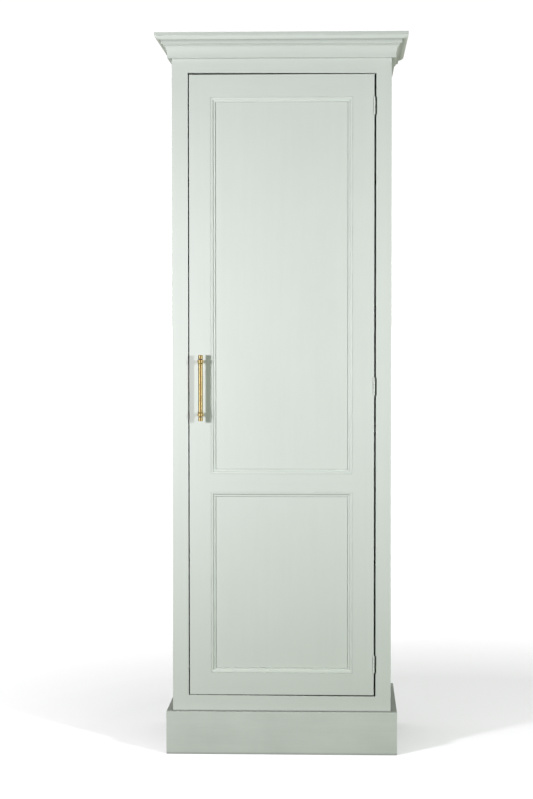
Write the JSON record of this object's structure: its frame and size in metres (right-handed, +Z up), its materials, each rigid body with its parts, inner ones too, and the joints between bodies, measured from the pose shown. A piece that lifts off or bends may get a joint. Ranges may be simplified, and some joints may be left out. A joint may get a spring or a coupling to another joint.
{
  "type": "larder cupboard",
  "caption": "Tall painted kitchen larder cupboard with a hinged panelled door, moulded cornice, plinth, fixed shelves and brass bar handle.",
  "frame": {"origin": "on the floor, under the middle of the overall box", "axes": "+Z up, the door faces -Y, +X to the right as seen from the front, where the hinges are"},
  "size_m": [0.729, 0.524, 2.088],
  "materials": {
    "painted_wood": "satin sage grey-green paint, brushed on",
    "painted_wood_inside": "satin paint inside the carcase, a little paler",
    "painted_hinge": "steel butts painted over with the frame",
    "brass": "satin turned brass",
    "steel": "bright zinc plate",
    "catch_plastic": "matt black"
  },
  "bodies": {
    "cabinet": {"side_left": "painted_wood", "side_right": "painted_wood", "top_board": "painted_wood", "frame_rail_top": "painted_wood", "frame_rail_bottom": "painted_wood", "frame_stile_left": "painted_wood", "frame_stile_right": "painted_wood", "plinth_front": "painted_wood", "plinth_left": "painted_wood", "plinth_right": "painted_wood", "cornice_front": "painted_wood", "cornice_left": "painted_wood", "cornice_right": "painted_wood", "floor_board": "painted_wood_inside", "back_panel": "painted_wood_inside", "wall_rail": "painted_wood_inside", "shelf_1": "painted_wood_inside", "shelf_2": "painted_wood_inside", "shelf_3": "painted_wood_inside", "shelf_4": "painted_wood_inside", "shelf_batten_1_left": "painted_wood_inside", "shelf_batten_1_right": "painted_wood_inside", "shelf_batten_2_left": "painted_wood_inside", "shelf_batten_2_right": "painted_wood_inside", "shelf_batten_3_left": "painted_wood_inside", "shelf_batten_3_right": "painted_wood_inside", "shelf_batten_4_left": "painted_wood_inside", "shelf_batten_4_right": "painted_wood_inside", "hinge_frame_leaf_upper": "painted_hinge", "hinge_frame_leaf_middle": "painted_hinge", "hinge_frame_leaf_lower": "painted_hinge", "hinge_pin_upper": "painted_hinge", "hinge_pin_middle": "painted_hinge", "hinge_pin_lower": "painted_hinge", "magnetic_catch": "catch_plastic"},
    "door": {"door_stile_handle": "painted_wood", "door_stile_hinge": "painted_wood", "door_rail_top": "painted_wood", "door_rail_middle": "painted_wood", "door_rail_bottom": "painted_wood", "door_panel_upper": "painted_wood", "door_panel_lower": "painted_wood", "moulding_upper_left": "painted_wood", "moulding_upper_right": "painted_wood", "moulding_upper_top": "painted_wood", "moulding_upper_bottom": "painted_wood", "moulding_lower_left": "painted_wood", "moulding_lower_right": "painted_wood", "moulding_lower_top": "painted_wood", "moulding_lower_bottom": "painted_wood", "hinge_door_leaf_upper": "painted_hinge", "hinge_door_leaf_middle": "painted_hinge", "hinge_door_leaf_lower": "painted_hinge", "handle_bar": "brass", "handle_post_upper": "brass", "handle_post_lower": "brass", "handle_screw_upper": "steel", "handle_screw_lower": "steel", "catch_strike_plate": "steel"}
  },
  "joints": [
    {"name": "door_hinge", "type": "hinge", "parent": "cabinet", "child": "door", "pos_m": [0.2679, -0.2177, 1.0711], "axis": [0, 0, 1], "range_deg": [0, 180]}
  ]
}
